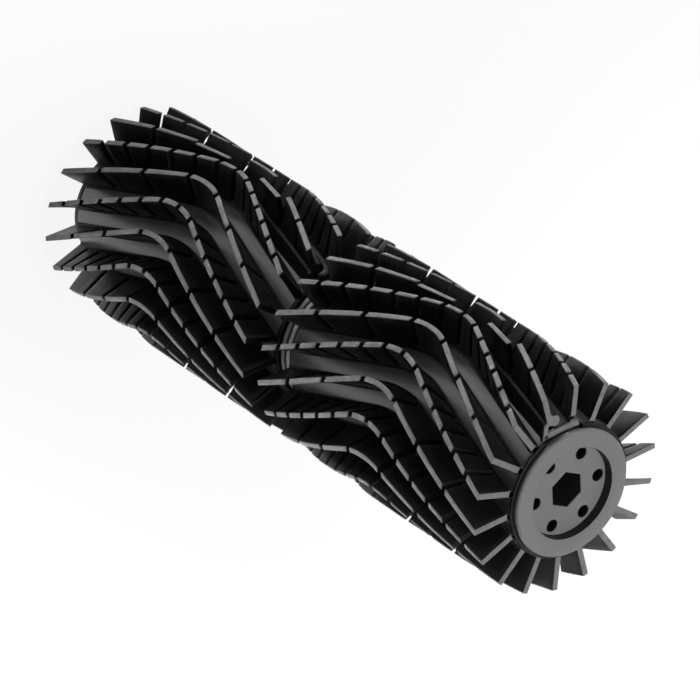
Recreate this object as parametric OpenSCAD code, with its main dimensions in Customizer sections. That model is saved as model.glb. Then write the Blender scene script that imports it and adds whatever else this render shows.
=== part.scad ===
// Roller brush of a pool floor cleaner, standing on its far end with +Z along the axle to the drive end.
// Two hollow drums join end to end. Each carries a moulded sleeve whose fins run out and back in a chevron.

/* [Brush] */
// Diameter over the fin tips
brush_d = 80; // [60:0.5:100]
// Fins round each sleeve, an even number
fin_n = 18; // [12:2:24]
// Thickness of a fin
fin_t = 2; // [1.2:0.1:3]
// Slope of a fin's straight runs from the axle, measured at the tips
fin_slope = 25.8; // [10:0.1:35]
// Radius of the bend in the middle of a fin, measured at the tips
bend_r = 25; // [10:1:40]
// How far the bend's middle lies short of mid length
bend_early = 1.5; // [-10:0.5:10]
// Flaps that the slots cut a finely slit fin into, an even number
flap_n = 14; // [8:2:20]
// Width of a slot
slot_w = 2.2; // [0.5:0.1:3]
// Height of uncut web under a slot
slot_web = 1.6; // [0.5:0.1:6]

/* [Sleeve] */
// Thickness of the sleeve's wall, under the fins
sleeve_wall_t = 2; // [1:0.1:4]
// Length of the sleeve
sleeve_l = 127; // [80:1:160]
// Bare wall between the fins and the drive-side edge
sleeve_margin = 1.9; // [0.5:0.1:5]
// Depth of the pocket at the foot of each fin's drive end
foot_pocket = 1.3; // [0.5:0.1:2]

/* [Seam] */
// Height of the seam's lip above the wall
lip_h = 4.4; // [1:0.1:8]
// Thickness of the seam's lip
lip_t = 1.8; // [1:0.1:3]
// Angle over which the wall is cut back beside the seam
seam_angle = 37; // [20:1:60]
// Drop of the cut-back edge below the fins' ends
seam_drop = 0.3; // [0.1:0.1:1]
// Height of the low rib along the cut-back edge
rim_h = 1.2; // [0.4:0.1:3]
// Width of that rib
rim_w = 1.6; // [0.8:0.1:3]
// Diameter of the bead at the foot of the fin inside the seam
bead_d = 3.4; // [2:0.1:5]
// Length of that bead
bead_l = 5; // [3:0.5:12]
// How far the bead sinks into its fin
bead_sink = 0.8; // [0.4:0.1:1.5]
// Height of the undercut below the bead
undercut_h = 2.2; // [1:0.1:4]

/* [Drum] */
// Outer diameter of the drum's wall, where the sleeve seats
drum_d = 46.8; // [40:0.2:54]
// Thickness of the drum's wall
drum_wall = 2.8; // [1.5:0.1:5]
// Height of the flanges that hold the sleeve, above the drum's wall
flange_h = 0.8; // [0.4:0.1:2]
// Thickness of a flange
flange_t = 1.8; // [1:0.1:4]
// Chamfer round the outer edge of an end face
edge_chamfer = 0.5; // [0.2:0.1:1]
// Space left between the far flange and the sleeve
sleeve_gap = 2.4; // [0.5:0.1:6]
// Width of the groove where the two drums meet
groove_w = 1.4; // [0.6:0.1:4]
// Depth of that groove below the drum's wall
groove_depth = 0.8; // [0.2:0.1:1.6]
// Length of the spigot that joins the drums
spigot_l = 9; // [4:0.5:20]
// Thickness of the spigot's wall
spigot_t = 2.2; // [1:0.1:4]

/* [End] */
// Diameter of the dish in an end face
dish_d = 35; // [28:0.5:40]
// Depth of the dish
dish_depth = 3.4; // [1:0.1:6]
// Slope of the dish's side, as the radius lost at its floor
dish_draft = 0.7; // [0:0.1:2]
// Thickness of the web behind the dish
web_t = 4; // [2:0.5:8]
// Width across the flats of the drive socket
socket_af = 12.5; // [8:0.1:16]
// Depth of the drive socket below the dish's floor
socket_depth = 18; // [8:0.5:30]
// Thickness of the floor behind the socket
socket_floor_t = 2.5; // [1:0.5:5]
// Turn of the socket's corners from the first fin
socket_turn = 10; // [0:1:60]
// Diameter of the hub round the socket
hub_d = 21; // [18:0.5:26]
// Water holes round the socket
hole_n = 6; // [3:1:12]
// Diameter of a water hole
hole_d = 4.8; // [2:0.1:6]
// Diameter of the circle through the water holes' centres
hole_circle_d = 27.6; // [24:0.1:32]

/* [Fit] */
// Clearance between pieces that slide together
fit_gap = 0.2; // [0.1:0.05:0.4]

/* [Hidden] */

$fn = 96;

tip_r = brush_d / 2;
bore_r = drum_d / 2 + fit_gap;
sleeve_r = bore_r + sleeve_wall_t;
root_r = (sleeve_r + bore_r) / 2;
fin_l = sleeve_l - sleeve_margin;
fin_pitch = 360 / fin_n;
flap_pitch = (fin_l + slot_w / 2) / flap_n;

// The fin's path: straight runs at fin_slope, joined by an arc near mid length.
straight_steps = 5;
bend_steps = 6;
bend_z = fin_l / 2 - bend_early;
bend_half = bend_r * sin(fin_slope);
run_start = bend_z - bend_half;
run_end = fin_l - bend_z - bend_half;

// The seam ends midway between two fins' feet, and the bead is on the fin inside it.
end_turn = path_angle(fin_l);
seam_turn = end_turn - 1.5 * fin_pitch;
bead_turn = end_turn - 2 * fin_pitch;
lip_spread = asin(lip_t / sleeve_r);
cut_z = fin_l - seam_drop;
undercut_r = sleeve_r + 1.2 * rim_h;
bead_r = undercut_r + undercut_h + bead_d / 2;

// Along the axle: each drum has a flange, the gap, the sleeve and its other flange.
sleeve_z = flange_t + sleeve_gap;
drum_l = sleeve_z + sleeve_l + fit_gap + flange_t;
module_pitch = drum_l + groove_w;
overall_l = drum_l + module_pitch;
joint_z = drum_l + groove_w / 2;

drum_r = drum_d / 2;
drum_bore_r = drum_r - drum_wall;
flange_r = drum_r + flange_h;
dish_r = dish_d / 2;
end_t = dish_depth + web_t;
socket_r = socket_af / 2 / cos(30);

// Distance along the tip circle at height z, from midway between the fin's two ends.
function path_y(z) =
    let (u = abs(z - bend_z))
    u > bend_half
        ? -(fin_l / 2 - u) * tan(fin_slope)
        : -(fin_l / 2 * tan(fin_slope) - bend_r / cos(fin_slope) + sqrt(bend_r * bend_r - u * u));

function path_angle(z) = path_y(z) / tip_r * 180 / PI;

// Slope of the path at height z.
function path_slope(z) =
    let (u = min(abs(z - bend_z), bend_half))
    asin(u / bend_r);

// Heights at which the fin's section is placed.
stations = concat(
    [for (i = [0:straight_steps - 1]) i * run_start / straight_steps],
    [for (i = [0:bend_steps]) bend_z - bend_half + i * 2 * bend_half / bend_steps],
    [for (i = [1:straight_steps]) bend_z + bend_half + i * run_end / straight_steps]
);

// A point at radius r, set to one side of the path by half the thickness.
function side_point(r, half, z) =
    let (a = path_angle(z) + asin(half / r))
    [r * cos(a), r * sin(a), z];

// A wall that stands on the sleeve along the path, up to radius top.
module swept_wall(top, thick) {
    count = len(stations);
    points = [
        for (z = stations)
            let (half = thick / 2 / cos(path_slope(z)))
            each [
                side_point(root_r, -half, z),
                side_point(top, -half, z),
                side_point(top, half, z),
                side_point(root_r, half, z)
            ]
    ];
    sides = [
        for (i = [0:count - 2], j = [0:3])
            let (a = 4 * i + j, b = 4 * i + (j + 1) % 4)
            each [[a, b + 4, b], [a, a + 4, b + 4]]
    ];
    last = 4 * (count - 1);
    polyhedron(
        points = points,
        faces = concat([[0, 1, 2], [0, 2, 3]], sides, [[last + 2, last + 1, last], [last + 3, last + 2, last]]),
        convexity = 8
    );
}

module ring(outer, inner, h) {
    difference() {
        cylinder(r = outer, h = h);
        translate([0, 0, -1])
            cylinder(r = inner, h = h + 2);
    }
}

// Every second fin from number first, slit at every n-th slot place. A flap starts where a slot ends.
module fin_set(first, every) {
    difference() {
        for (k = [first:2:fin_n - 1])
            rotate([0, 0, k * fin_pitch])
                swept_wall(tip_r, fin_t);
        for (i = [every:every:flap_n - 1])
            translate([0, 0, i * flap_pitch - slot_w])
                ring(tip_r + 1, sleeve_r + slot_web, slot_w);
    }
}

// Part of a ring, in the angle where the wall is cut back beside the seam, and a few degrees past the seam.
module seam_sector(inner, outer, h, past) {
    rotate([0, 0, seam_turn - seam_angle])
        rotate_extrude(angle = seam_angle + past)
            translate([inner, 0])
                square([outer - inner, h]);
}

// Whether the wall beside a fin reaches its full length, away from the cut-back angle.
function full_wall(k) =
    let (turn = end_turn + k * fin_pitch - 360, spread = asin(fin_t / bore_r))
    turn > seam_turn + lip_spread + spread || turn < seam_turn - seam_angle - spread;

module foot_pockets() {
    for (k = [0:fin_n - 1])
        if (full_wall(k))
            rotate([0, 0, end_turn + k * fin_pitch])
                translate([bore_r - 1, -fin_t / 2, fin_l])
                    cube([sleeve_r - bore_r + 2, fin_t, foot_pocket]);
}

// The tube is turned so that the line where its surface closes runs clear of the fins' ends.
module sleeve_wall() {
    difference() {
        rotate([0, 0, fin_pitch / 2])
            ring(sleeve_r, bore_r, sleeve_l);
        translate([0, 0, cut_z])
            seam_sector(bore_r - 1, sleeve_r + 1, sleeve_l - cut_z + 1, lip_spread);
        foot_pockets();
    }
}

// Under the bead the fin's foot is cut clear of the rib.
module bead_undercut() {
    rotate([0, 0, bead_turn])
        translate([undercut_r, -2 * fin_t, fin_l - bead_l])
            cube([undercut_h, 4 * fin_t, bead_l + 1]);
}

module bead() {
    lean = atan(tan(fin_slope) * bead_r / tip_r);
    rotate([0, 0, bead_turn])
        translate([bead_r, -(fin_t + bead_d) / 2 + bead_sink, cut_z])
            rotate([180 - lean, 0, 0])
                cylinder(d = bead_d, h = bead_l);
}

// The lip's long leg follows the fins, its short leg is the rib along the cut-back edge.
module seam() {
    rotate([0, 0, seam_turn - end_turn])
        swept_wall(sleeve_r + lip_h, lip_t);
    translate([0, 0, cut_z - rim_w])
        seam_sector(root_r, sleeve_r + rim_h, rim_w, -lip_spread / 4);
    bead();
}

module sleeve() {
    sleeve_wall();
    difference() {
        fin_set(0, 2);
        bead_undercut();
    }
    fin_set(1, 1);
    seam();
}

// The drum's outline from its end face at z = 0 to the joint.
module drum_shell() {
    rotate_extrude()
        polygon([
            [dish_r, 0],
            [flange_r - edge_chamfer, 0],
            [flange_r, edge_chamfer],
            [flange_r, flange_t],
            [drum_r, flange_t],
            [drum_r, drum_l - flange_t],
            [flange_r, drum_l - flange_t],
            [flange_r, drum_l],
            [drum_r - groove_depth, drum_l],
            [drum_r - groove_depth, joint_z],
            [drum_bore_r, joint_z],
            [drum_bore_r, end_t],
            [0, end_t],
            [0, dish_depth],
            [dish_r - dish_draft, dish_depth]
        ]);
}

module drum_end_cuts() {
    rotate([0, 0, socket_turn])
        cylinder(r = socket_r, h = dish_depth + socket_depth, $fn = 6);
    for (i = [0:hole_n - 1])
        rotate([0, 0, socket_turn + (i + 0.5) * 360 / hole_n])
            translate([hole_circle_d / 2, 0, dish_depth - 1])
                cylinder(d = hole_d, h = web_t + 2, $fn = 32);
}

module drum() {
    difference() {
        union() {
            drum_shell();
            translate([0, 0, dish_depth])
                cylinder(d = hub_d, h = socket_depth + socket_floor_t);
        }
        drum_end_cuts();
    }
}

module drum_far() {
    color("dimgray")
        drum();
}

module drum_near() {
    color("dimgray") {
        translate([0, 0, overall_l])
            mirror([0, 0, 1])
                drum();
        translate([0, 0, joint_z - spigot_l])
            ring(drum_bore_r - fit_gap, drum_bore_r - fit_gap - spigot_t, spigot_l);
        translate([0, 0, joint_z])
            ring(drum_bore_r + drum_wall / 2, drum_bore_r - fit_gap - spigot_t, spigot_l);
    }
}

module sleeve_far() {
    color("darkslategray")
        translate([0, 0, sleeve_z])
            sleeve();
}

module sleeve_near() {
    color("slategray")
        translate([0, 0, sleeve_z + module_pitch])
            sleeve();
}

drum_far();
drum_near();
sleeve_far();
sleeve_near();
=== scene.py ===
import math
from collections import namedtuple

import bmesh
import bpy
import numpy as np
from mathutils import Matrix, Vector


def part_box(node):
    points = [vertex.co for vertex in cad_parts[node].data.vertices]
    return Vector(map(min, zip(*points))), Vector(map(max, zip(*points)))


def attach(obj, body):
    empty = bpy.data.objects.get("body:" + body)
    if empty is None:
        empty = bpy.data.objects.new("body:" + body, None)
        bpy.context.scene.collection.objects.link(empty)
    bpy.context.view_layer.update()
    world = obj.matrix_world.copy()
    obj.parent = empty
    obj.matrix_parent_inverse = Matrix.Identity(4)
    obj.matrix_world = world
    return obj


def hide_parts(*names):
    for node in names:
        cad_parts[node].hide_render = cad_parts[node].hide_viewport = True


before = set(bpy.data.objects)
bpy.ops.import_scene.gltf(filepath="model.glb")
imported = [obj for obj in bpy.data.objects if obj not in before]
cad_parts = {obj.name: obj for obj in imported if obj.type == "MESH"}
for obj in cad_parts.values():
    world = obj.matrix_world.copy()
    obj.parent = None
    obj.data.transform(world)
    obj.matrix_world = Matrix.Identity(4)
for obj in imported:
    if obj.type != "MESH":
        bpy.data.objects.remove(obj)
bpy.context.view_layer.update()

MM = 0.001

# Sizes in metres, from the imported parts and a few dimensions
far_lo, far_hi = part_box("sleeve_far")
near_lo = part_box("sleeve_near")[0]
ALL_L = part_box("drum_near")[1].z            # the brush from face to face
TIP_R = far_hi.x                            # over the fin tips
SLEEVE_L = far_hi.z - far_lo.z

FIN_N = 18
FIN_T = 2.0 * MM
FIN_SLOPE = math.radians(25.8)
BEND_R = 25 * MM
BEND_EARLY = 1.5 * MM                       # how far the bend lies short of mid length
FLAP_N = 14
SLOT_W = 2.2 * MM
SLOT_WEB = 1.6 * MM
PITCH = 2 * math.pi / FIN_N
SEAM_FIN = FIN_N - 2                        # the fin inside the seam
# Flaps that have taken a set: number along the fin, and how far the tip stands over at its far and near ends
LEANING_FLAPS = ((1, 0.2 * MM, 1.8 * MM), (2, 4.1 * MM, 8.5 * MM), (4, 7.6 * MM, 4.0 * MM))
LEAN_CURVE = 1.25

SLEEVE_R = 25.6 * MM
BORE_R = 23.6 * MM
FIN_L = SLEEVE_L - 1.9 * MM
FLAP_PITCH = (FIN_L + SLOT_W / 2) / FLAP_N
POCKET = 1.3 * MM
FOOT_FILLET, LIP_FILLET = 0.9 * MM, 0.5 * MM
FOOT_SINK = 0.35 * MM                       # how far a foot reaches into the wall
TIP_TAPER = 0.05                            # share of its thickness that a fin loses towards its tip

# The seam: a lip that leans, a stiff bar at its near end, and the wall cut back behind the bar
SEAM_LO, SEAM_HI = math.radians(-67.5), math.radians(-29)
LIP_H, LIP_T, LIP_END_T = 4.7 * MM, 1.3 * MM, 1.9 * MM
LIP_TURN, LIP_TILT = math.radians(-32.5), math.radians(-4.4)
LIP_DRIFT, LIP_DRIFT_L = math.radians(7), 40 * MM
LIP_WIDE_L, LIP_RAMP_L = 1 * MM, 0.8 * MM   # the lip's wide end, and the length over which it widens
BAR_Z = FIN_L + 0.45 * MM                   # the bar's face, in front of the fins' ends
BAR_L = 1.6 * MM
BAR_SINK = 0.3 * MM
BAR_CORNERS = ((25.4, -29.7), (24.7, -66), (26.8, -62.6), (26.85, -36.8), (26.7, -30.6))    # mm, degrees
UNDERCUT_R, UNDERCUT_TOP = SLEEVE_R + 1.4 * MM, SLEEVE_R + 3.6 * MM
NEXT_UNDERCUT_L, NEXT_UNDERCUT_TOP = 1.5 * MM, SLEEVE_R + SLOT_WEB + 1.2 * MM
BOSS_R, BOSS_L = 2 * MM, 5 * MM
BOSS_CENTRE = (-2.05 * MM, UNDERCUT_TOP + 0.5 * MM)
BOSS_PROUD = 0.03 * MM                      # how far its end stands in front of its fin's end

DRUM_R = 23.4 * MM
DRUM_BORE_R = 20.6 * MM
FLANGE_R, FLANGE_T = 24.2 * MM, 1.8 * MM
CHAMFER = 0.5 * MM
GROOVE_R, GROOVE_HALF_W = DRUM_R - 0.8 * MM, 0.7 * MM
DRUM_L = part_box("drum_far")[1].z            # a drum, with half of the groove where the two meet
DISH_R, DISH_DEPTH, DISH_DRAFT = 17.4 * MM, 3.4 * MM, 0.2 * MM
WEB_T = 4 * MM
SOCKET_R = 12.5 * MM / 2 / math.cos(math.radians(30))
SOCKET_DEPTH, SOCKET_FLOOR_T = 18 * MM, 2.5 * MM
SOCKET_TURN = math.radians(10)
HUB_R = 10.5 * MM
HOLE_N, HOLE_R, HOLE_CIRCLE_R = 6, 2.4 * MM, 13.8 * MM
SPIGOT_R, SPIGOT_L, SPIGOT_T = DRUM_BORE_R - 0.2 * MM, 9 * MM, 2.2 * MM


# Mesh helpers
def new_object(name, verts, faces, material=None):
    mesh = bpy.data.meshes.new(name)
    mesh.from_pydata([tuple(v) for v in verts], [], [tuple(f) for f in faces])
    mesh.update()
    obj = bpy.data.objects.new(name, mesh)
    bpy.context.scene.collection.objects.link(obj)
    if material:
        mesh.materials.append(material)
    return obj


def recalc(obj):
    bm = bmesh.new()
    bm.from_mesh(obj.data)
    bmesh.ops.recalc_face_normals(bm, faces=bm.faces)
    bm.to_mesh(obj.data)
    bm.free()


def apply_modifiers(obj):
    """Keeps the object's evaluated mesh in place of its modifiers."""
    dg = bpy.context.evaluated_depsgraph_get()
    dg.update()
    mesh = bpy.data.meshes.new_from_object(obj.evaluated_get(dg))
    obj.modifiers.clear()
    obj.data = mesh


def round_edges(obj, width, angle=40, segments=2):
    mod = obj.modifiers.new("round", "BEVEL")
    mod.width = width
    mod.segments = segments
    mod.limit_method = "ANGLE"
    mod.angle_limit = math.radians(angle)
    mod.harden_normals = False
    mod.use_clamp_overlap = True
    apply_modifiers(obj)


def shade(obj, angle=38):
    obj.data.polygons.foreach_set("use_smooth", [True] * len(obj.data.polygons))
    obj.data.set_sharp_from_angle(angle=math.radians(angle))
    obj.data.update()


def cell_shell(solid, shape, point):
    """Skin of the solid cells of a grid. solid(i, j, k) tells a filled cell, point(i, j, k) a grid corner.
    The first axis closes on itself where its length is given as negative."""
    wrap = shape[0] < 0
    ni, nj, nk = abs(shape[0]), shape[1], shape[2]
    filled = np.zeros((ni, nj, nk), bool)
    for i in range(ni):
        for j in range(nj):
            for k in range(nk):
                filled[i, j, k] = solid(i, j, k)

    def is_filled(i, j, k):
        if wrap:
            i %= ni
        return 0 <= i < ni and 0 <= j < nj and 0 <= k < nk and filled[i, j, k]

    index, verts, faces = {}, [], []

    def corner(i, j, k):
        key = (i % ni if wrap else i, j, k)
        if key not in index:
            index[key] = len(verts)
            verts.append(point(*key))
        return index[key]

    sides = (
        ((-1, 0, 0), ((0, 0, 0), (0, 0, 1), (0, 1, 1), (0, 1, 0))),
        ((1, 0, 0), ((1, 0, 0), (1, 1, 0), (1, 1, 1), (1, 0, 1))),
        ((0, -1, 0), ((0, 0, 0), (1, 0, 0), (1, 0, 1), (0, 0, 1))),
        ((0, 1, 0), ((0, 1, 0), (0, 1, 1), (1, 1, 1), (1, 1, 0))),
        ((0, 0, -1), ((0, 0, 0), (0, 1, 0), (1, 1, 0), (1, 0, 0))),
        ((0, 0, 1), ((0, 0, 1), (1, 0, 1), (1, 1, 1), (0, 1, 1))),
    )
    for i, j, k in zip(*np.nonzero(filled)):
        for (di, dj, dk), quad in sides:
            if not is_filled(i + di, j + dj, k + dk):
                faces.append([corner(i + a, j + b, k + c) for a, b, c in quad])
    return verts, faces


def joined(name, objects):
    """One object of several, which are used up. Each face keeps its material."""
    materials = []
    bm = bmesh.new()
    for o in objects:
        material = o.data.materials[0]
        if material not in materials:
            materials.append(material)
        o.data.polygons.foreach_set("material_index", [materials.index(material)] * len(o.data.polygons))
        bm.from_mesh(o.data)
    mesh = bpy.data.meshes.new(name)
    bm.to_mesh(mesh)
    bm.free()
    for m in materials:
        mesh.materials.append(m)
    for o in objects:
        bpy.data.objects.remove(o)
    obj = bpy.data.objects.new(name, mesh)
    bpy.context.scene.collection.objects.link(obj)
    return obj


# The fins' path
BEND_Z = FIN_L / 2 - BEND_EARLY
BEND_HALF = BEND_R * math.sin(FIN_SLOPE)


def path_angle(z):
    """Turn of the path round the axle at height z above the sleeve's far edge."""
    u = abs(z - BEND_Z)
    if u > BEND_HALF:
        y = -(FIN_L / 2 - u) * math.tan(FIN_SLOPE)
    else:
        y = -(FIN_L / 2 * math.tan(FIN_SLOPE) - BEND_R / math.cos(FIN_SLOPE)
              + math.sqrt(BEND_R * BEND_R - u * u))
    return y / TIP_R


def path_slope(z):
    return math.asin(min(abs(z - BEND_Z), BEND_HALF) / BEND_R)


END_TURN = path_angle(FIN_L)


def merged_stations(fixed, step):
    """Heights along a fin: the fixed ones, and others between them no further apart than step."""
    fixed = sorted(set(round(v, 9) for v in fixed))
    out = []
    for a, b in zip(fixed, fixed[1:]):
        n = max(1, math.ceil((b - a) / step))
        out += [a + (b - a) * i / n for i in range(n)]
    return out + [fixed[-1]]


def swept(name, turn, rows, thick, slots=(), gap=None, end=FIN_L, wider=0, step=2.2 * MM, material=None):
    """A wall on the sleeve along the path, up to height end. turn(z, r) is its turn against the path, and
    rows are (radius, extra half thickness) from foot to top. slots are the heights of the cuts down to
    SLOT_WEB, gap is (z, r_low, r_high) of a hole at the near end, and wider is what the half thickness gains
    over the last LIP_WIDE_L."""
    edges = [0, end, BEND_Z - BEND_HALF, BEND_Z + BEND_HALF]
    for z in slots:
        edges += [z - SLOT_W / 2, z + SLOT_W / 2]
    if gap:
        edges.append(gap[0])
    if wider:
        edges += [end - LIP_WIDE_L - LIP_RAMP_L, end - LIP_WIDE_L]
    zs = merged_stations(edges, step)
    mids = [(a + b) / 2 for a, b in zip(zs, zs[1:])]
    top = rows[-1][0]

    def solid(i, j, k):
        if any(abs(mids[i] - z) < SLOT_W / 2 for z in slots) and rows[j][0] > SLEEVE_R + SLOT_WEB - 1e-6:
            return False
        if gap and mids[i] > gap[0] and gap[1] - 1e-6 < rows[j][0] < gap[2] - 1e-6:
            return False
        return True

    def point(i, j, k):
        z, (r, extra) = zs[i], rows[j]
        lean = 1 - TIP_TAPER * max(0, r - SLEEVE_R) / (top - SLEEVE_R)
        if z > end - LIP_WIDE_L - 1e-6:
            extra += wider
        half = (thick / 2 * lean + extra) / math.cos(path_slope(z))
        a = turn(z, r) + path_angle(z) + (1 if k else -1) * math.asin(half / r)
        return (r * math.cos(a), r * math.sin(a), z)

    verts, faces = cell_shell(solid, (len(zs) - 1, len(rows) - 1, 1), point)
    obj = new_object(name, verts, faces, material)
    recalc(obj)
    return obj


def foot_rows(fillet):
    """Rows of a fin's foot, flared into the wall by a fillet."""
    rows = [(SLEEVE_R - FOOT_SINK, fillet)]
    for t in (0, 30, 60, 90):
        t = math.radians(t)
        rows.append((SLEEVE_R + fillet * (1 - math.cos(t)), fillet * (1 - math.sin(t))))
    return rows


def flap_lean(k, z, r):
    """Turn of a point on the flaps that lean, beside the bend of the fin inside the seam."""
    if k != SEAM_FIN:
        return 0
    share = max(0, r - SLEEVE_R - SLOT_WEB) / (TIP_R - SLEEVE_R - SLOT_WEB)
    for flap, from_shift, to_shift in LEANING_FLAPS:
        start, stop = 2 * flap * FLAP_PITCH, 2 * (flap + 1) * FLAP_PITCH - SLOT_W
        if start - 1e-6 < z < stop + 1e-6:
            shift = from_shift + (to_shift - from_shift) * (z - start) / (stop - start)
            return shift / TIP_R * share ** LEAN_CURVE
    return 0


def fin(name, k, every, material):
    """Fin number k. The two inside the seam are cut clear of the bar."""
    marks, gap = [SLEEVE_R + SLOT_WEB], None
    if k == SEAM_FIN:
        gap = (FIN_L - BOSS_L, UNDERCUT_R, UNDERCUT_TOP)
    if k == SEAM_FIN - 1:
        gap = (FIN_L - NEXT_UNDERCUT_L, UNDERCUT_R, NEXT_UNDERCUT_TOP)
    if gap:
        marks += gap[1:]
    rows = foot_rows(FOOT_FILLET) + [(r, 0) for r in sorted(marks)]
    rows += [(TIP_R - 8 * MM, 0), (TIP_R - 4 * MM, 0), (math.sqrt(TIP_R ** 2 - (FIN_T / 2) ** 2), 0)]
    slots = [i * FLAP_PITCH - SLOT_W / 2 for i in range(every, FLAP_N, every)]
    return swept(name, lambda z, r: k * PITCH + flap_lean(k, z, r), rows, FIN_T, slots, gap,
                 material=material)


def sleeve_wall(name, material):
    """The sleeve's tube with its foot pockets, cut back inside the seam."""
    half_pocket = FIN_T / 2 / SLEEVE_R
    seam_lo, seam_hi = END_TURN + SEAM_LO, END_TURN + SEAM_HI
    spread = math.asin(FIN_T / BORE_R)
    pockets = []
    for k in range(FIN_N):
        a = END_TURN + k * PITCH - 2 * math.pi
        if a > seam_hi + spread or a < seam_lo - spread:
            pockets.append((a - half_pocket, a + half_pocket))
    marks = [seam_lo, seam_hi] + [v for p in pockets for v in p]
    base = min(marks)
    marks = sorted((m - base) % (2 * math.pi) + base for m in marks)
    angles = []
    for a, b in zip(marks, marks[1:] + [marks[0] + 2 * math.pi]):
        n = max(1, math.ceil((b - a) / math.radians(3)))
        angles += [a + (b - a) * i / n for i in range(n)]
    back_z = BAR_Z - BAR_L
    zs = [0, back_z, FIN_L, FIN_L + POCKET, SLEEVE_L]
    count = len(angles)

    def middle(i):
        b = angles[i + 1] if i + 1 < count else angles[0] + 2 * math.pi
        return (angles[i] + b) / 2

    def inside(a, lo, hi):
        return any(lo < a + t < hi for t in (-2 * math.pi, 0, 2 * math.pi))

    def solid(i, j, k):
        a, z = middle(i), (zs[j] + zs[j + 1]) / 2
        if z > back_z and inside(a, seam_lo, seam_hi):
            return False
        if FIN_L < z < FIN_L + POCKET and any(inside(a, *p) for p in pockets):
            return False
        return True

    def point(i, j, k):
        r = (BORE_R, SLEEVE_R)[k]
        return (r * math.cos(angles[i]), r * math.sin(angles[i]), zs[j])

    verts, faces = cell_shell(solid, (-count, len(zs) - 1, 1), point)
    obj = new_object(name, verts, faces, material)
    recalc(obj)
    return obj


def bar(name, material):
    """The stiff bar across the cut-back edge, from the lip's foot to past the second fin inside the seam."""
    verts = []
    for z in (BAR_Z - BAR_L - BAR_SINK, BAR_Z):
        for r, turn in BAR_CORNERS:
            a = math.radians(turn)
            verts.append((r * MM * math.cos(a), r * MM * math.sin(a), z))
    n = len(BAR_CORNERS)
    faces = [tuple(range(n)), tuple(range(n, 2 * n))]
    faces += [(i, (i + 1) % n, n + (i + 1) % n, n + i) for i in range(n)]
    obj = new_object(name, verts, faces, material)
    recalc(obj)
    round_edges(obj, 0.2 * MM, 30)
    return obj


def boss(name, material):
    """The round boss at the foot of the fin inside the seam. It covers the fin's end there, a hair in
    front."""
    turn = END_TURN + SEAM_FIN * PITCH
    side = FIN_T / 2 - 0.05 * MM
    centre, middle = BOSS_CENTRE
    outline = [(side, UNDERCUT_TOP)]
    for i in range(13):
        a = math.radians(-80 - 16 * i)
        outline.append((centre + BOSS_R * math.cos(a), middle + BOSS_R * math.sin(a)))
    outline += [(-FIN_T / 2 - 0.3 * MM, middle + 2.6 * MM), (-side, middle + 4 * MM), (side, middle + 4 * MM)]
    verts, faces = [], []
    steps, count = 4, len(outline)
    for i in range(steps + 1):
        z = FIN_L + BOSS_PROUD - BOSS_L * (1 - i / steps)
        for across, r in outline:
            a = turn + path_angle(z) - END_TURN + across / r
            verts.append((r * math.cos(a), r * math.sin(a), z))
    for i in range(steps):
        for j in range(count):
            a, b = i * count + j, i * count + (j + 1) % count
            faces.append((a, b, b + count, a + count))
    faces.append(tuple(reversed(range(count))))
    faces.append(tuple(steps * count + j for j in range(count)))
    obj = new_object(name, verts, faces, material)
    recalc(obj)
    return obj


def lip_turn(z, r):
    """The lip leans over, and drifts round the sleeve away from its near end."""
    return LIP_TURN + LIP_DRIFT * min(1, (BAR_Z - z) / LIP_DRIFT_L) + LIP_TILT * (r - SLEEVE_R) / LIP_H


def sleeve(name, z0, material, wall_material):
    parts = []
    for k in range(FIN_N):
        o = fin("fin", k, 2 if k % 2 == 0 else 1, material)
        round_edges(o, 0.12 * MM, 45)
        parts.append(o)
    rows = foot_rows(LIP_FILLET) + [(SLEEVE_R + LIP_H, 0)]
    lip = swept("lip", lip_turn, rows, LIP_T, end=BAR_Z, wider=(LIP_END_T - LIP_T) / 2, material=material)
    round_edges(lip, 0.1 * MM, 45)
    wall = sleeve_wall("wall", wall_material)
    round_edges(wall, 0.25 * MM, 40)
    parts += [lip, wall, bar("bar", material), boss("boss", material)]
    obj = joined(name, parts)
    # the bare edge past the fins is as dull as they are
    for face in obj.data.polygons:
        if face.center.z > FIN_L:
            face.material_index = 0
    obj.data.transform(Matrix.Translation((0, 0, z0)))
    shade(obj)
    return obj


# The drums
def lathe(name, profile, segments, material):
    verts, faces = [], []
    n = len(profile)
    for s in range(segments):
        a = 2 * math.pi * s / segments
        verts += [(r * math.cos(a), r * math.sin(a), z) for r, z in profile]
    for s in range(segments):
        t = (s + 1) % segments
        for i in range(n):
            j = (i + 1) % n
            faces.append((s * n + i, s * n + j, t * n + j, t * n + i))
    obj = new_object(name, verts, faces, material)
    bm = bmesh.new()
    bm.from_mesh(obj.data)
    bmesh.ops.remove_doubles(bm, verts=bm.verts, dist=1e-7)
    bmesh.ops.recalc_face_normals(bm, faces=bm.faces)
    bm.to_mesh(obj.data)
    bm.free()
    return obj


def prism(name, radius, sides, turn, z_lo, z_hi, centre=(0, 0)):
    verts = []
    for z in (z_lo, z_hi):
        for i in range(sides):
            a = turn + 2 * math.pi * i / sides
            verts.append((centre[0] + radius * math.cos(a), centre[1] + radius * math.sin(a), z))
    faces = [tuple(reversed(range(sides))), tuple(range(sides, 2 * sides))]
    faces += [(i, (i + 1) % sides, sides + (i + 1) % sides, sides + i) for i in range(sides)]
    return new_object(name, verts, faces)


def cut(obj, cutters):
    for c in cutters:
        mod = obj.modifiers.new("cut", "BOOLEAN")
        mod.operation = "DIFFERENCE"
        mod.solver = "EXACT"
        mod.object = c
    apply_modifiers(obj)
    for c in cutters:
        bpy.data.objects.remove(c)


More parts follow.
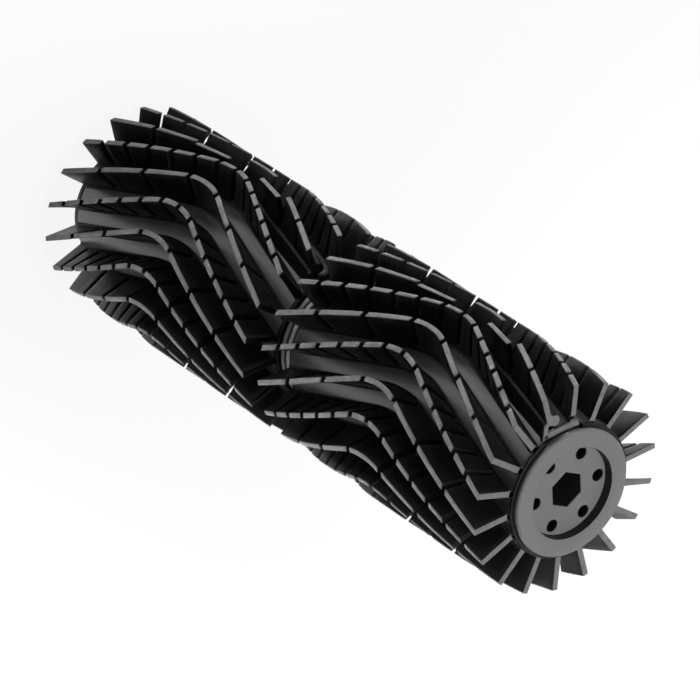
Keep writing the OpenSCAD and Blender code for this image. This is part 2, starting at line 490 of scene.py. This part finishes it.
def drum(name, far, material):
    """A drum from its end face at z = 0 to the joint. The near one is turned over and carries the spigot."""
    hub_l = DISH_DEPTH + SOCKET_DEPTH + SOCKET_FLOOR_T
    end_t = DISH_DEPTH + WEB_T
    groove_z = DRUM_L - GROOVE_HALF_W
    profile = [
        (0, DISH_DEPTH),
        (DISH_R - DISH_DRAFT, DISH_DEPTH),
        (DISH_R, 0),
        (FLANGE_R - CHAMFER, 0),
        (FLANGE_R, CHAMFER),
        (FLANGE_R, FLANGE_T),
        (DRUM_R, FLANGE_T),
        (DRUM_R, groove_z - FLANGE_T),
        (FLANGE_R, groove_z - FLANGE_T),
        (FLANGE_R, groove_z),
        (GROOVE_R, groove_z),
        (GROOVE_R, DRUM_L),
    ]
    if far:
        profile += [(DRUM_BORE_R, DRUM_L)]
    else:
        profile += [
            (SPIGOT_R, DRUM_L),
            (SPIGOT_R, DRUM_L + SPIGOT_L),
            (SPIGOT_R - SPIGOT_T, DRUM_L + SPIGOT_L),
            (SPIGOT_R - SPIGOT_T, DRUM_L - SPIGOT_L),
            (DRUM_BORE_R, DRUM_L - SPIGOT_L),
        ]
    profile += [
        (DRUM_BORE_R, end_t),
        (HUB_R, end_t),
        (HUB_R, hub_l),
        (0, hub_l),
    ]
    obj = lathe(name, profile, 160, material)
    cutters = [prism("socket", SOCKET_R, 6, SOCKET_TURN, -MM, DISH_DEPTH + SOCKET_DEPTH)]
    for i in range(HOLE_N):
        a = SOCKET_TURN + (i + 0.5) * 2 * math.pi / HOLE_N
        cutters.append(prism("hole", HOLE_R, 40, 0, DISH_DEPTH - MM, end_t + MM,
                             (HOLE_CIRCLE_R * math.cos(a), HOLE_CIRCLE_R * math.sin(a))))
    cut(obj, cutters)
    round_edges(obj, 0.22 * MM, 35, 3)
    if not far:
        obj.data.transform(Matrix.Translation((0, 0, ALL_L)) @ Matrix.Scale(-1, 4, (0, 0, 1)))
        obj.data.flip_normals()
    shade(obj, 32)
    return obj


# Materials
def node(tree, kind, **values):
    n = tree.nodes.new(kind)
    for key, value in values.items():
        setattr(n, key, value)
    return n


def noise(tree, coords, scale, detail, roughness=0.5):
    n = node(tree, "ShaderNodeTexNoise")
    n.inputs["Scale"].default_value = scale
    n.inputs["Detail"].default_value = detail
    n.inputs["Roughness"].default_value = roughness
    tree.links.new(coords, n.inputs["Vector"])
    return n.outputs["Fac"]


def ranged(tree, value, a, b, lo, hi):
    n = node(tree, "ShaderNodeMapRange")
    n.clamp = True
    for key, v in (("From Min", a), ("From Max", b), ("To Min", lo), ("To Max", hi)):
        n.inputs[key].default_value = v
    tree.links.new(value, n.inputs["Value"])
    return n.outputs["Result"]


def math_node(tree, operation, a, b=None):
    n = node(tree, "ShaderNodeMath", operation=operation)
    for i, v in enumerate((a, b)):
        if v is None:
            continue
        if isinstance(v, (int, float)):
            n.inputs[i].default_value = v
        else:
            tree.links.new(v, n.inputs[i])
    return n.outputs[0]


def mixed(tree, factor, a, b):
    n = node(tree, "ShaderNodeMix", data_type="RGBA")
    tree.links.new(factor, n.inputs["Factor"])
    for key, v in (("A", a), ("B", b)):
        socket = [s for s in n.inputs if s.name == key and s.type == "RGBA"][0]
        if isinstance(v, tuple):
            socket.default_value = (*v, 1)
        else:
            tree.links.new(v, socket)
    return [s for s in n.outputs if s.type == "RGBA"][0]


Place = namedtuple("Place", "coords radius height")


def shaded_place(tree, coords):
    """The point that is shaded: its coordinates, its distance from the axle and its height."""
    split = node(tree, "ShaderNodeSeparateXYZ")
    tree.links.new(coords, split.inputs[0])
    flat = node(tree, "ShaderNodeCombineXYZ")
    tree.links.new(split.outputs["X"], flat.inputs["X"])
    tree.links.new(split.outputs["Y"], flat.inputs["Y"])
    length = node(tree, "ShaderNodeVectorMath", operation="LENGTH")
    tree.links.new(flat.outputs[0], length.inputs[0])
    return Place(coords, length.outputs["Value"], split.outputs["Z"])


def near_value(tree, value, target, spread):
    n = node(tree, "ShaderNodeMath", operation="COMPARE")
    n.inputs[1].default_value = target
    n.inputs[2].default_value = spread
    tree.links.new(value, n.inputs[0])
    return n.outputs[0]


# Masks of a place, from 0 to 1
def tip_wear_and_painted_light(tree, place):
    """1 on the fins' tips, which are worn and also carry a painted highlight, and at the drive end on the
    fins' ends and on the bar, where it is painted light on faces that are lit; 0 elsewhere.
    """
    wear = ranged(tree, place.radius, TIP_R - 0.5 * MM, TIP_R - 0.3 * MM, 0, 1)
    for z, inner in ((FIN_L, SLEEVE_R + 0.2 * MM), (BAR_Z, BORE_R)):
        at_end = near_value(tree, place.height, near_lo.z + z, 0.13 * MM)
        outside = math_node(tree, "GREATER_THAN", place.radius, inner)
        wear = math_node(tree, "MAXIMUM", wear, math_node(tree, "MULTIPLY", at_end, outside))
    return wear


def face_wear(tree, place):
    """Grows towards the flanges' outer edge."""
    return ranged(tree, place.radius, DISH_R, FLANGE_R, 0, 0.4)


def painted_recess_shade(tree, place):
    """Painted shade: 1 on the dishes' walls and inside the socket and the holes, 0 on the faces."""
    depth = DISH_DEPTH + 0.4 * MM
    below_near = math_node(tree, "LESS_THAN", place.height, ALL_L - depth)
    above_far = math_node(tree, "GREATER_THAN", place.height, depth)
    inside = math_node(tree, "LESS_THAN", place.radius, DRUM_BORE_R)
    behind = math_node(tree, "MULTIPLY", math_node(tree, "MULTIPLY", below_near, above_far), inside)
    dish_wall = near_value(tree, place.radius, DISH_R - DISH_DRAFT / 2, 0.16 * MM)
    return math_node(tree, "MAXIMUM", behind, dish_wall)


def painted_sheen_streaks(tree, place):
    """Painted sheen: soft lighter streaks that follow the fins' path round the axle."""
    split = node(tree, "ShaderNodeSeparateXYZ")
    tree.links.new(place.coords, split.inputs[0])
    away = None
    for z0 in (far_lo.z, near_lo.z):
        d = math_node(tree, "ABSOLUTE", math_node(tree, "SUBTRACT", place.height, z0 + BEND_Z))
        away = d if away is None else math_node(tree, "MINIMUM", away, d)
    angle = math_node(tree, "ARCTAN2", split.outputs["Y"], split.outputs["X"])
    path_turn = math_node(tree, "MULTIPLY", away, math.tan(FIN_SLOPE) / TIP_R)
    across = math_node(tree, "SUBTRACT", angle, path_turn)
    along_path = node(tree, "ShaderNodeCombineXYZ")
    tree.links.new(math_node(tree, "MULTIPLY", across, 5.0), along_path.inputs["X"])
    tree.links.new(math_node(tree, "MULTIPLY", place.height, 14.0), along_path.inputs["Y"])
    return ranged(tree, noise(tree, along_path.outputs[0], 1.6, 2, 0.5), 0.35, 0.65, 0, 1)


def moulded(name, base, dark, layers, roughness, uneven, grain, grain_depth, specular):
    """Moulded rubber or plastic: mottled colour, layers of (colour, mask, added roughness, patchiness), and a
    fine surface grain. uneven is how far the roughness strays."""
    material = bpy.data.materials.new(name)
    material.use_nodes = True
    tree = material.node_tree
    shader = tree.nodes["Principled BSDF"]
    coords = node(tree, "ShaderNodeTexCoord").outputs["Object"]
    slow = noise(tree, coords, 55, 3, 0.6)
    colour = mixed(tree, ranged(tree, slow, 0.3, 0.7, 0, 1), dark, base)
    rough = ranged(tree, noise(tree, coords, 160, 4, 0.6), 0.3, 0.7, roughness - uneven, roughness + uneven)
    spots = noise(tree, coords, 420, 5, 0.65)
    place = shaded_place(tree, coords)
    for tint, mask, duller, patchy in layers:
        kept = ranged(tree, spots, 0.3, 0.62, 1 - patchy, 1)
        amount = math_node(tree, "MULTIPLY", mask(tree, place), kept)
        colour = mixed(tree, amount, colour, tint)
        rough = math_node(tree, "ADD", rough, math_node(tree, "MULTIPLY", amount, duller))
    tree.links.new(colour, shader.inputs["Base Color"])
    tree.links.new(rough, shader.inputs["Roughness"])
    # fine spark-eroded grain over slow unevenness
    bump = node(tree, "ShaderNodeBump")
    bump.inputs["Strength"].default_value = 0.6
    bump.inputs["Distance"].default_value = grain_depth
    height = math_node(tree, "ADD", noise(tree, coords, grain, 2, 0.5),
                       math_node(tree, "MULTIPLY", noise(tree, coords, 260, 2, 0.5), 2.0))
    tree.links.new(height, bump.inputs["Height"])
    tree.links.new(bump.outputs["Normal"], shader.inputs["Normal"])
    shader.inputs["Specular IOR Level"].default_value = specular
    return material


def grey(value, blue=0.002):
    return (value, value, value + blue)


# the fins' light grey layer: wear and a painted highlight on the tips, painted light on the drive-end faces
# and the bar
FIN_RUBBER = moulded(
    "fin_rubber", grey(0.009), grey(0.007),
    layers=((grey(0.24), tip_wear_and_painted_light, 0.15, 0.3),),
    roughness=0.38, uneven=0.07, grain=5200, grain_depth=0.00003, specular=0.12)
# the wall is the fins' own rubber, glossier; its lighter colour and its lighter streaks are painted light in
# the valleys between the fins
WALL_RUBBER = moulded(
    "wall_rubber", grey(0.020), grey(0.016),
    layers=((grey(0.045), painted_sheen_streaks, 0, 0),),
    roughness=0.32, uneven=0.015, grain=5200, grain_depth=0.000006, specular=0.85)
# the drums: lighter towards the flange rims with wear, and painted shade on the dish walls, in the socket and
# in the holes
PLASTIC = moulded(
    "drum_plastic", grey(0.21), grey(0.19),
    layers=((grey(0.26), face_wear, 0.1, 0.3), (grey(0.02), painted_recess_shade, 0.1, 0)),
    roughness=0.45, uneven=0.07, grain=4200, grain_depth=0.00003, specular=0.15)


# The pieces
pieces = (
    (sleeve("sleeve_far_rubber", far_lo.z, FIN_RUBBER, WALL_RUBBER), "sleeve_far", "sleeve"),
    (sleeve("sleeve_near_rubber", near_lo.z, FIN_RUBBER, WALL_RUBBER), "sleeve_near", "sleeve"),
    (drum("drum_far_shell", True, PLASTIC), "drum_far", "drum"),
    (drum("drum_near_shell", False, PLASTIC), "drum_near", "drum"),
)
for obj, cad_node, slot_name in pieces:
    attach(obj, "root")
    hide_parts(cad_node)


# Floor, background, lights, camera
FLOOR_GLOW = 0.9                            # the rest of what the camera sees of the floor is its shading
AMBIENT = 0.03


def seen_directly(tree):
    """1 where the camera sees it, straight, in a reflection or through glass, and 0 where it only lights."""
    path = node(tree, "ShaderNodeLightPath").outputs
    mirrored = math_node(tree, "MAXIMUM", path["Is Glossy Ray"], path["Is Transmission Ray"])
    return math_node(tree, "MAXIMUM", path["Is Camera Ray"], mirrored)


def background_material(name):
    """Pale floor: white to the camera and in reflections, with the shadow that falls on it kept."""
    material = bpy.data.materials.new(name)
    material.use_nodes = True
    tree = material.node_tree
    tree.nodes.clear()
    out = node(tree, "ShaderNodeOutputMaterial")
    diffuse = node(tree, "ShaderNodeBsdfDiffuse")
    diffuse.inputs["Color"].default_value = (0.85, 0.85, 0.85, 1)
    glow = node(tree, "ShaderNodeEmission")
    glow.inputs["Color"].default_value = (1, 1, 1, 1)
    glow.inputs["Strength"].default_value = 1
    mix = node(tree, "ShaderNodeMixShader")
    tree.links.new(math_node(tree, "MULTIPLY", seen_directly(tree), FLOOR_GLOW), mix.inputs[0])
    tree.links.new(diffuse.outputs[0], mix.inputs[1])
    tree.links.new(glow.outputs[0], mix.inputs[2])
    tree.links.new(mix.outputs[0], out.inputs[0])
    return material


bpy.ops.mesh.primitive_plane_add(size=8, location=(0, 0, -0.0002))
floor = bpy.context.object
floor.name = "floor"
floor.data.materials.append(background_material("floor_paper"))

world = bpy.data.worlds.new("studio")
bpy.context.scene.world = world
world.use_nodes = True
wt = world.node_tree
background = wt.nodes["Background"]
background.inputs["Color"].default_value = (1, 1, 1, 1)
strength = math_node(wt, "ADD", math_node(wt, "MULTIPLY", seen_directly(wt), 1 - AMBIENT), AMBIENT)
wt.links.new(strength, background.inputs["Strength"])

CENTRE = Vector((0, 0, ALL_L / 2))
FOCAL_PIXELS, PICTURE_PIXELS, SENSOR_MM = 5440.54, 700, 36
CAMERA_AT = Vector((1.39872, -0.17257, 1.50061))
CAMERA_BACK = Vector((0.71426, -0.08858, 0.69425)).normalized()
CAMERA_UP = Vector((0.27622, -0.87576, -0.39592)).normalized()


def look(obj, location, back, up):
    right = up.cross(back).normalized()
    up = back.cross(right)
    frame_axes = Matrix((right, up, back)).transposed().to_4x4()
    obj.matrix_world = Matrix.Translation(location) @ frame_axes


def area_light(name, location, facing, size, watts, spread=180):
    """A square light at a point in the part's frame, shining against facing."""
    light = bpy.data.lights.new(name, "AREA")
    light.shape = "SQUARE"
    light.size = size
    light.energy = watts
    light.spread = math.radians(spread)
    obj = bpy.data.objects.new(name, light)
    bpy.context.scene.collection.objects.link(obj)
    look(obj, location, facing, Vector((0, 1, 0.01)).normalized())


def softbox(name, direction, distance, size, watts):
    """Faces the brush's middle from a direction."""
    direction = Vector(direction).normalized()
    area_light(name, CENTRE + direction * distance, direction, size, watts)


def floor_light(name, turn, distance, watts):
    """Hangs beside the brush and shines straight down, so that the floor lights the brush from below."""
    turn = math.radians(turn)
    at = Vector((distance * math.cos(turn), distance * math.sin(turn), 0.5))
    area_light(name, at, Vector((0, 0, 1)), 0.4, watts, 60)


# from above: the flange and the fins' ends
softbox("top", (0.0, -0.02, 1.0), 1.3, 0.5, 10)
# from behind: the edges of the near end
softbox("back", (-0.72, 0.20, 0.66), 1.3, 0.5, 1.5)
# from both sides: the fin tips
softbox("left", (0.0, -1.0, 0.0), 1.2, 0.7, 3)
softbox("right", (0.25, 0.97, -0.25), 1.2, 0.5, 15)
# from below, off the floor: the fin tips, and not the sides that face the camera
floor_light("floor_left", -55, 0.5, 5)
floor_light("floor_right", 85, 0.5, 7)
floor_light("floor_back", 175, 0.5, 1.5)

camera_data = bpy.data.cameras.new("camera")
camera_data.sensor_width = SENSOR_MM
camera_data.lens = FOCAL_PIXELS * SENSOR_MM / PICTURE_PIXELS
camera_data.clip_start, camera_data.clip_end = 0.05, 20
camera = bpy.data.objects.new("camera", camera_data)
bpy.context.scene.collection.objects.link(camera)
look(camera, CAMERA_AT, CAMERA_BACK, CAMERA_UP)
bpy.context.scene.camera = camera
bpy.context.scene.view_settings.view_transform = "Standard"
